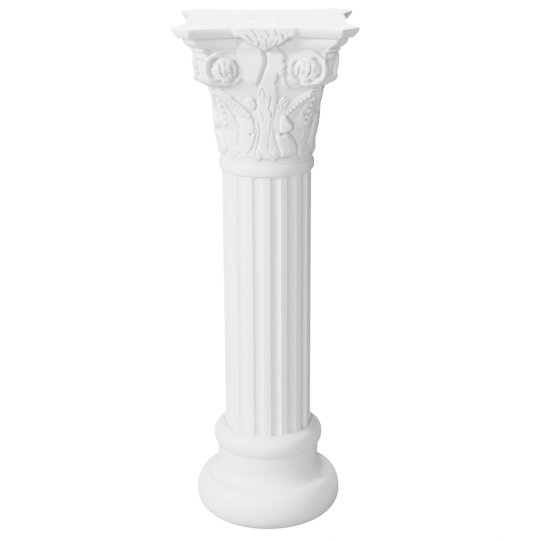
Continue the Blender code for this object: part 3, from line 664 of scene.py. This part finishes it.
def moulded_finish():
    """Group: cloudy tone, fine pits and long streaks of moulded plastic, read
    from object coordinates."""
    found = bpy.data.node_groups.get("moulded_finish")
    if found:
        return found
    group, inlet, outlet = node_group(
        "moulded_finish",
        (("Light", "NodeSocketColor", (0.8, 0.8, 0.8, 1.0)),
         ("Dark", "NodeSocketColor", (0.7, 0.7, 0.7, 1.0)),
         ("Cloud scale", "NodeSocketFloat", 40.0), ("Streak", "NodeSocketFloat", 1.0)),
        (("Color", "NodeSocketColor"), ("Roughness", "NodeSocketFloat"), ("Height", "NodeSocketFloat")))
    nodes, links = group.nodes, group.links
    place = nodes.new("ShaderNodeTexCoord")
    stretch = nodes.new("ShaderNodeMapping")
    stretch.inputs["Scale"].default_value = (1.0, 1.0, 0.05)
    links.new(place.outputs["Object"], stretch.inputs["Vector"])
    cloud = nodes.new("ShaderNodeTexNoise")
    cloud.inputs["Detail"].default_value = 4.0
    links.new(place.outputs["Object"], cloud.inputs["Vector"])
    links.new(inlet.outputs["Cloud scale"], cloud.inputs["Scale"])
    streak = nodes.new("ShaderNodeTexNoise")
    streak.inputs["Scale"].default_value = 90.0
    streak.inputs["Detail"].default_value = 3.0
    links.new(stretch.outputs["Vector"], streak.inputs["Vector"])
    pits = nodes.new("ShaderNodeTexNoise")
    pits.inputs["Scale"].default_value = 700.0
    pits.inputs["Detail"].default_value = 2.0
    links.new(place.outputs["Object"], pits.inputs["Vector"])
    part = nodes.new("ShaderNodeMath")
    part.operation = "MULTIPLY"
    links.new(streak.outputs["Fac"], part.inputs[0])
    links.new(inlet.outputs["Streak"], part.inputs[1])
    both = nodes.new("ShaderNodeMath")
    both.operation = "MULTIPLY_ADD"
    both.inputs[1].default_value = CLOUD_SHARE
    links.new(cloud.outputs["Fac"], both.inputs[0])
    links.new(part.outputs[0], both.inputs[2])
    spread = nodes.new("ShaderNodeMapRange")
    spread.inputs["From Min"].default_value = 0.2
    spread.inputs["From Max"].default_value = 0.9
    links.new(both.outputs[0], spread.inputs["Value"])
    tone = nodes.new("ShaderNodeMix")
    tone.data_type = "RGBA"
    links.new(spread.outputs["Result"], tone.inputs["Factor"])
    links.new(inlet.outputs["Dark"], tone.inputs["A"])
    links.new(inlet.outputs["Light"], tone.inputs["B"])
    links.new(tone.outputs["Result"], outlet.inputs["Color"])
    rough = nodes.new("ShaderNodeMapRange")
    rough.inputs["To Min"].default_value = 0.36
    rough.inputs["To Max"].default_value = 0.54
    links.new(cloud.outputs["Fac"], rough.inputs["Value"])
    links.new(rough.outputs["Result"], outlet.inputs["Roughness"])
    height = nodes.new("ShaderNodeMath")
    height.operation = "MULTIPLY_ADD"
    height.inputs[1].default_value = PIT_SHARE
    links.new(pits.outputs["Fac"], height.inputs[0])
    links.new(both.outputs[0], height.inputs[2])
    links.new(height.outputs[0], outlet.inputs["Height"])
    return group


def white_plastic(node, looks):
    """White satin plastic for a node: the moulded finish between two near
    whites, darkened by painted shade as far as the mesh's crevice mask goes. A
    mesh without that mask gets no painted shade."""
    shade, cloud_scale, streak = FINISHES[node]
    made = bpy.data.materials.new(node + "_plastic")
    made.use_nodes = True
    nodes, links = made.node_tree.nodes, made.node_tree.links
    shader = nodes["Principled BSDF"]
    shader.inputs["Metallic"].default_value = 0.0
    shader.inputs["IOR"].default_value = 1.49
    finish = nodes.new("ShaderNodeGroup")
    finish.node_tree = moulded_finish()
    finish.inputs["Light"].default_value = (*looks.white, 1.0)
    finish.inputs["Dark"].default_value = (*[c * shade for c in looks.white], 1.0)
    finish.inputs["Cloud scale"].default_value = cloud_scale
    finish.inputs["Streak"].default_value = streak
    # Painted shade: the crevice mask mixes the colour toward dark grey in the crevices and the holes'
    # floors
    painted_shade_mask = nodes.new("ShaderNodeAttribute")
    painted_shade_mask.attribute_name = "painted_shade_mask"
    amount = nodes.new("ShaderNodeMath")
    amount.operation = "MULTIPLY"
    amount.inputs[1].default_value = looks.painted_shade
    links.new(painted_shade_mask.outputs["Fac"], amount.inputs[0])
    shaded = nodes.new("ShaderNodeMix")
    shaded.data_type = "RGBA"
    shaded.inputs["B"].default_value = PAINTED_SHADE_COLOUR
    links.new(amount.outputs[0], shaded.inputs["Factor"])
    links.new(finish.outputs["Color"], shaded.inputs["A"])
    links.new(shaded.outputs["Result"], shader.inputs["Base Color"])
    links.new(finish.outputs["Roughness"], shader.inputs["Roughness"])
    uneven = nodes.new("ShaderNodeBump")
    uneven.inputs["Strength"].default_value = looks.unevenness
    uneven.inputs["Distance"].default_value = RELIEF_DEPTH
    links.new(finish.outputs["Height"], uneven.inputs["Height"])
    links.new(uneven.outputs["Normal"], shader.inputs["Normal"])
    return made


# What a user would change

class ColumnLooks(bpy.types.PropertyGroup):
    white: bpy.props.FloatVectorProperty(
        name="White", description="Colour of the plastic", subtype="COLOR", size=3, min=0.0, max=1.0,
        default=(0.84, 0.84, 0.825))
    unevenness: bpy.props.FloatProperty(
        name="Unevenness", description="Strength of the moulding marks", default=0.25, min=0.0, max=1.0,
        subtype="FACTOR")
    # Strength of the painted shade that darkens the carving's crevices and the holes' floors
    painted_shade: bpy.props.FloatProperty(
        name="Painted_shade", description="How strongly dust shows in the carving's crevices", default=0.7,
        min=0.0, max=1.0, subtype="FACTOR")


class ColumnSizes(bpy.types.PropertyGroup):
    base_radius: bpy.props.FloatProperty(
        name="Base radius", description="Radius of the base", default=float(BASE_HIGH.x),
        subtype="DISTANCE", unit="LENGTH")
    base_height: bpy.props.FloatProperty(
        name="Base height", description="Height of the base", default=float(BASE_HIGH.z),
        subtype="DISTANCE", unit="LENGTH")
    capital_half: bpy.props.FloatProperty(
        name="Capital half width", description="Half the width of the capital's plate",
        default=float(CAPITAL_HIGH.x), subtype="DISTANCE", unit="LENGTH")
    capital_bottom: bpy.props.FloatProperty(
        name="Capital bottom", description="Height of the capital's lower rim",
        default=float(CAPITAL_LOW.z), subtype="DISTANCE", unit="LENGTH")
    column_top: bpy.props.FloatProperty(
        name="Column top", description="Height of the plate's top", default=float(CAPITAL_HIGH.z),
        subtype="DISTANCE", unit="LENGTH")


# Operators

def base_profile():
    """Outline of the base in design millimetres: foot, big roll, hollow, neck,
    small roll and lip, then down into the recess."""
    quarter = np.linspace(0.0, 0.5 * math.pi, QUARTER_POINTS)
    swell = ROLL_MIDDLE[0] + ROLL_REACH[0] - FOOT_RADIUS
    foot = np.stack([FOOT_RADIUS + swell * np.sin(quarter) ** FOOT_POWER,
                     ROLL_MIDDLE[1] * (1.0 - np.cos(quarter))], axis=1)
    roll = arc(ROLL_MIDDLE, ROLL_REACH, quarter)[1:]
    hollow_middle = (ROLL_MIDDLE[0], ROLL_MIDDLE[1] + ROLL_REACH[1] + HOLLOW_REACH[1])
    hollow = arc(hollow_middle, HOLLOW_REACH, -0.5 * math.pi - quarter)[1:]
    neck = np.linspace(*NECK, NECK_POINTS)
    turns = np.radians(np.linspace(*SMALL_ROLL_TURNS, SMALL_ROLL_POINTS))
    up = np.where(turns > 0.0, SMALL_ROLL_UP, SMALL_ROLL_DOWN)
    small = arc(SMALL_ROLL_MIDDLE, (SMALL_ROLL_OUT, up), turns)
    return np.concatenate([foot, roll, hollow, neck, small, LIP])


class MESH_OT_column_base(bpy.types.Operator):
    """Add the round moulded base"""
    bl_idname = "mesh.column_base"
    bl_label = "Column base"

    def execute(self, context):
        sizes, looks = context.scene.column_sizes, context.scene.column_looks
        profile = base_profile()
        radius = spread_radius(profile[:, 0], DESIGN_BASE_RADIUS, sizes.base_radius)
        height = profile[:, 1] * sizes.base_height / DESIGN_BASE_HEIGHT
        turns = np.arange(BASE_COLUMNS) * 2.0 * math.pi / BASE_COLUMNS
        points = np.stack([radius[:, None] * np.cos(turns), radius[:, None] * np.sin(turns),
                           np.repeat(height[:, None], BASE_COLUMNS, axis=1)], axis=-1)
        faces = ring_faces(*points.shape[:2]) + last_cap(*points.shape[:2])
        new_piece("base_moulding", points, faces, "base", looks)
        return {"FINISHED"}


class MESH_OT_column_shaft(bpy.types.Operator):
    """Add the fluted shaft"""
    bl_idname = "mesh.column_shaft"
    bl_label = "Column shaft"

    def execute(self, context):
        looks = context.scene.column_looks
        pitch = 2.0 * math.pi / FLUTES
        across = np.linspace(-1.0, 1.0, FLUTE_POINTS)
        flute = np.stack([(0.5 + 0.5 * FLUTE_SHARE * across) * pitch,
                          SHAFT_RADIUS - FLUTE_DEPTH * (1.0 - across ** 2) ** FLUTE_POWER], axis=1)
        edges = 0.5 + 0.5 * FLUTE_SHARE, 1.5 - 0.5 * FLUTE_SHARE
        between = np.linspace(*edges, LAND_POINTS + 2)[1:-1] * pitch
        land = np.stack([between, np.full(between.shape, SHAFT_RADIUS)], axis=1)
        unit = np.concatenate([flute, land])
        turns = np.concatenate([unit[:, 0] + k * pitch for k in range(FLUTES)])
        radius = MM * np.tile(unit[:, 1], FLUTES)
        heights = np.linspace(float(SHAFT_LOW.z), float(SHAFT_HIGH.z), SHAFT_ROWS)
        points = np.stack([np.tile(radius * np.sin(turns), (SHAFT_ROWS, 1)),
                           np.tile(-radius * np.cos(turns), (SHAFT_ROWS, 1)),
                           np.repeat(heights[:, None], len(turns), axis=1)], axis=-1)
        faces = ring_faces(*points.shape[:2]) + last_cap(*points.shape[:2])
        new_piece("shaft_tube", points, faces, "shaft", looks)
        return {"FINISHED"}


def four_sides(x, y, z):
    """Repeat a face on the four sides of the capital: x runs across and y out
    from the axis."""
    sides = []
    for k in range(4):
        c, s = math.cos(k * math.pi / 2.0), math.sin(k * math.pi / 2.0)
        sides.append(np.stack([x * c + y * s, x * s - y * c, z], axis=-1))
    return np.concatenate(sides, axis=1)


def holed_top(rim, first):
    """The plate's top with its four round holes, metres: rim is the ring of
    points around it, which has the mesh's indices from first on. Returns the
    holes' points and the faces of the top, the walls and the floors."""
    turns = np.arange(HOLE_SIDES) * 2.0 * math.pi / HOLE_SIDES
    top = rim[0, 2]
    rings = []
    for place in HOLE_PLACES:
        ring = MM * arc(place, (HOLE_RADIUS, HOLE_RADIUS), turns)
        rings.append(np.column_stack([ring, np.full(HOLE_SIDES, top)]))
    outlines = [[Vector(point) for point in ring] for ring in [rim] + rings]
    faces = [tuple(first + corner for corner in corners) for corners in tessellate_polygon(outlines)]
    below = HOLE_SIDES * len(rings)
    for k in range(len(rings)):
        start = first + len(rim) + k * HOLE_SIDES
        for j in range(HOLE_SIDES):
            a, b = start + j, start + (j + 1) % HOLE_SIDES
            faces.append((a, b, b + below, a + below))
        faces.append(tuple(range(start + below, start + below + HOLE_SIDES)))
    floors = [ring - (0.0, 0.0, MM * HOLE_DEPTH) for ring in rings]
    return np.concatenate(rings + floors), faces


def blurred(grid, reach):
    """Mean of a grid over a square of points; its columns run in a ring."""
    side = 2 * reach + 1
    rows = np.pad(grid, ((reach, reach), (0, 0)), mode="edge")
    mean = sum(rows[k:k + grid.shape[0]] for k in range(side)) / side
    return sum(np.roll(mean, k, axis=1) for k in range(-reach, reach + 1)) / side


def mark_painted_shade(piece, radius, floors):
    """Store the mask of painted shade: how far each point lies in a crevice, 0 to 1.
    On the grid it is the depth below the mean of the points around, as a share of
    CREVICE_DEPTH; the mesh's last points, the holes' floors, count in full."""
    share = np.clip((blurred(radius, CREVICE_REACH) - radius) / CREVICE_DEPTH, 0.0, 1.0)
    share[:CAPITAL_PLAIN_ROWS] = 0.0
    share[-CAPITAL_PLAIN_ROWS:] = 0.0
    values = np.zeros(len(piece.data.vertices), np.float32)
    values[:share.size] = share.ravel()
    values[-floors:] = 1.0
    made = piece.data.attributes.new("painted_shade_mask", "FLOAT", "POINT")
    made.data.foreach_set("value", values)


def capital_face():
    """Grid of one face of the capital in design millimetres: x across, y out
    and z up, for the collar's rows, the carved rows and the rings on the top."""
    turns = face_turns(FACE_COLUMNS)
    roll_turns = np.radians(np.linspace(*COLLAR_ROLL_TURNS, COLLAR_ROLL_POINTS))
    roll = arc(COLLAR_ROLL_MIDDLE, COLLAR_ROLL_REACH, roll_turns)
    collar = np.concatenate([COLLAR_RIM, roll, [BELL_FOOT]])
    bell, plate = (start + pitch * np.arange(count) for start, pitch, count in (BELL_ROWS, PLATE_ROWS))
    heights = np.concatenate([bell, STEP_ROWS, plate, EDGE_ROWS])
    carved_x, carved_y, carved_z = capital_skin(*np.meshgrid(turns, heights))
    shares = np.array(TOP_RINGS)[:, None]
    x = np.concatenate([collar[:, :1] * np.sin(turns), carved_x, shares * carved_x[-1]])
    y = np.concatenate([collar[:, :1] * np.cos(turns), carved_y, shares * carved_y[-1]])
    z = np.concatenate([np.repeat(collar[:, 1:], len(turns), axis=1), carved_z,
                        np.full((len(shares), len(turns)), DESIGN_TOP)])
    return x, y, z


class MESH_OT_column_capital(bpy.types.Operator):
    """Add the carved capital"""
    bl_idname = "mesh.column_capital"
    bl_label = "Column capital"

    def execute(self, context):
        sizes, looks = context.scene.column_sizes, context.scene.column_looks
        points = four_sides(*capital_face())
        radius = np.hypot(points[..., 0], points[..., 1])
        scale = spread_radius(radius, DESIGN_HALF_WIDTH, sizes.capital_half) / radius
        rise = (sizes.column_top - sizes.capital_bottom) / (DESIGN_TOP - DESIGN_CAPITAL_BOTTOM)
        points[..., 0] *= scale
        points[..., 1] *= scale
        points[..., 2] = sizes.capital_bottom + (points[..., 2] - DESIGN_CAPITAL_BOTTOM) * rise
        row_count, column_count = points.shape[:2]
        hole_points, hole_faces = holed_top(points[-1], (row_count - 1) * column_count)
        faces = ring_faces(row_count, column_count) + hole_faces
        every = np.concatenate([points.reshape(-1, 3), hole_points])
        piece = new_piece("capital_moulding", every, faces, "capital", looks)
        # Painted shade in the carving's crevices and the holes' floors
        mark_painted_shade(piece, np.hypot(points[..., 0], points[..., 1]), len(hole_points) // 2)
        return {"FINISHED"}


# Name, place, size in metres, watts and colour of each studio light, the point
# on the column's axis that they all face, and the light of the sky
STUDIO_LIGHTS = (
    ("key_light", (-2.72, -1.45, 1.89), 1.1, 560.0, (1.0, 1.0, 1.0)),
    ("front_light", (-0.6, -3.3, 1.3), 1.8, 150.0, (1.0, 1.0, 0.99)),
    ("top_light", (0.0, 0.0, 3.3), 0.6, 460.0, (1.0, 1.0, 1.0)),
)
LIT_POINT = (0.0, 0.0, 0.45)
SKY_COLOUR = (1.0, 0.995, 0.98, 1.0)
SKY_STRENGTH = 0.45

# Half the floor's width, metres, its colour as it lights the column and as the
# camera sees it, and the glow that the camera sees
FLOOR_HALF = 30.0
FLOOR_DIM = (0.14, 0.14, 0.135, 1.0)
FLOOR_BRIGHT = (0.85, 0.85, 0.85, 1.0)
FLOOR_GLOW = 17.0

# The camera, worked out from the photo, which is a square of this many pixels:
# its focal length in those pixels, how far round the column it stands, and its
# angles down, aside and rolled, in degrees
SENSOR_WIDTH = 36.0
PHOTO_PIXELS = 540.0
FOCAL_PIXELS = 1368.1
CAMERA_ORBIT = 0.65
CAMERA_DOWN = 17.098
CAMERA_ASIDE = -0.119
CAMERA_ROLL = -0.254


def studio_paper():
    """White paper: dull and dim as it lights the column, glowing white as the
    camera sees it, so that only a faint shadow shows under the column."""
    paper = bpy.data.materials.new("floor_paper")
    paper.use_nodes = True
    nodes, links = paper.node_tree.nodes, paper.node_tree.links
    nodes.remove(nodes["Principled BSDF"])
    dim, bright = nodes.new("ShaderNodeBsdfDiffuse"), nodes.new("ShaderNodeBsdfDiffuse")
    dim.inputs["Color"].default_value = FLOOR_DIM
    bright.inputs["Color"].default_value = FLOOR_BRIGHT
    glow = nodes.new("ShaderNodeEmission")
    glow.inputs["Strength"].default_value = FLOOR_GLOW
    lit = nodes.new("ShaderNodeAddShader")
    links.new(bright.outputs[0], lit.inputs[0])
    links.new(glow.outputs[0], lit.inputs[1])
    ray, choose = nodes.new("ShaderNodeLightPath"), nodes.new("ShaderNodeMixShader")
    links.new(ray.outputs["Is Camera Ray"], choose.inputs["Fac"])
    links.new(dim.outputs[0], choose.inputs[1])
    links.new(lit.outputs[0], choose.inputs[2])
    links.new(choose.outputs[0], nodes["Material Output"].inputs["Surface"])
    return paper


class SCENE_OT_column_stage(bpy.types.Operator):
    """Add the floor, the soft lights and the camera"""
    bl_idname = "scene.column_stage"
    bl_label = "Column stage"

    def execute(self, context):
        scene = context.scene
        sides = ((-1.0, -1.0), (1.0, -1.0), (1.0, 1.0), (-1.0, 1.0))
        corners = [(FLOOR_HALF * x, FLOOR_HALF * y, 0.0) for x, y in sides]
        mesh = bpy.data.meshes.new("floor")
        mesh.from_pydata(corners, [], [(0, 1, 2, 3)])
        floor = bpy.data.objects.new("floor", mesh)
        scene.collection.objects.link(floor)
        mesh.materials.append(studio_paper())

        world = bpy.data.worlds.new("studio")
        world.use_nodes = True
        sky = world.node_tree.nodes["Background"]
        sky.inputs["Color"].default_value = SKY_COLOUR
        sky.inputs["Strength"].default_value = SKY_STRENGTH
        scene.world = world
        for name, place, size, power, colour in STUDIO_LIGHTS:
            light = bpy.data.objects.new(name, bpy.data.lights.new(name, "AREA"))
            light.data.size = size
            light.data.energy = power
            light.data.color = colour
            light.location = place
            towards = Vector(LIT_POINT) - Vector(place)
            light.rotation_mode = "QUATERNION"
            light.rotation_quaternion = towards.to_track_quat("-Z", "Y")
            scene.collection.objects.link(light)

        camera = bpy.data.objects.new("camera", bpy.data.cameras.new("camera"))
        camera.data.sensor_width = SENSOR_WIDTH
        camera.data.lens = SENSOR_WIDTH * FOCAL_PIXELS / PHOTO_PIXELS
        camera.data.clip_end = 100.0
        orbit, away = math.radians(CAMERA_ORBIT), MM * EYE_DISTANCE
        camera.location = (away * math.sin(orbit), -away * math.cos(orbit), MM * EYE_HEIGHT)
        turn = Matrix.Rotation(orbit + math.radians(CAMERA_ASIDE), 3, "Z")
        turn = turn @ Matrix.Rotation(math.radians(90.0 - CAMERA_DOWN), 3, "X")
        turn = turn @ Matrix.Rotation(math.radians(CAMERA_ROLL), 3, "Z")
        camera.rotation_mode = "QUATERNION"
        camera.rotation_quaternion = turn.to_quaternion()
        scene.collection.objects.link(camera)
        scene.camera = camera
        return {"FINISHED"}


class VIEW3D_PT_column(bpy.types.Panel):
    """Lists the column's pieces and values"""
    bl_idname = "VIEW3D_PT_column"
    bl_label = "Plastic column"
    bl_space_type = "VIEW_3D"
    bl_region_type = "UI"
    bl_category = "Column"

    def draw(self, context):
        layout = self.layout
        for group in (context.scene.column_sizes, context.scene.column_looks):
            for key in group.__annotations__:
                layout.prop(group, key)
        for operator in (MESH_OT_column_base, MESH_OT_column_shaft, MESH_OT_column_capital,
                         SCENE_OT_column_stage):
            layout.operator(operator.bl_idname)


CLASSES = (ColumnSizes, ColumnLooks, MESH_OT_column_base, MESH_OT_column_shaft, MESH_OT_column_capital,
           SCENE_OT_column_stage, VIEW3D_PT_column)


def register():
    for each in CLASSES:
        bpy.utils.register_class(each)
    bpy.types.Scene.column_sizes = bpy.props.PointerProperty(type=ColumnSizes)
    bpy.types.Scene.column_looks = bpy.props.PointerProperty(type=ColumnLooks)


def unregister():
    del bpy.types.Scene.column_looks
    del bpy.types.Scene.column_sizes
    for each in reversed(CLASSES):
        bpy.utils.unregister_class(each)


def main():
    """Register the add-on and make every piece."""
    register()
    bpy.ops.scene.column_stage()
    bpy.ops.mesh.column_base()
    bpy.ops.mesh.column_shaft()
    bpy.ops.mesh.column_capital()


if __name__ == "__main__":
    main()
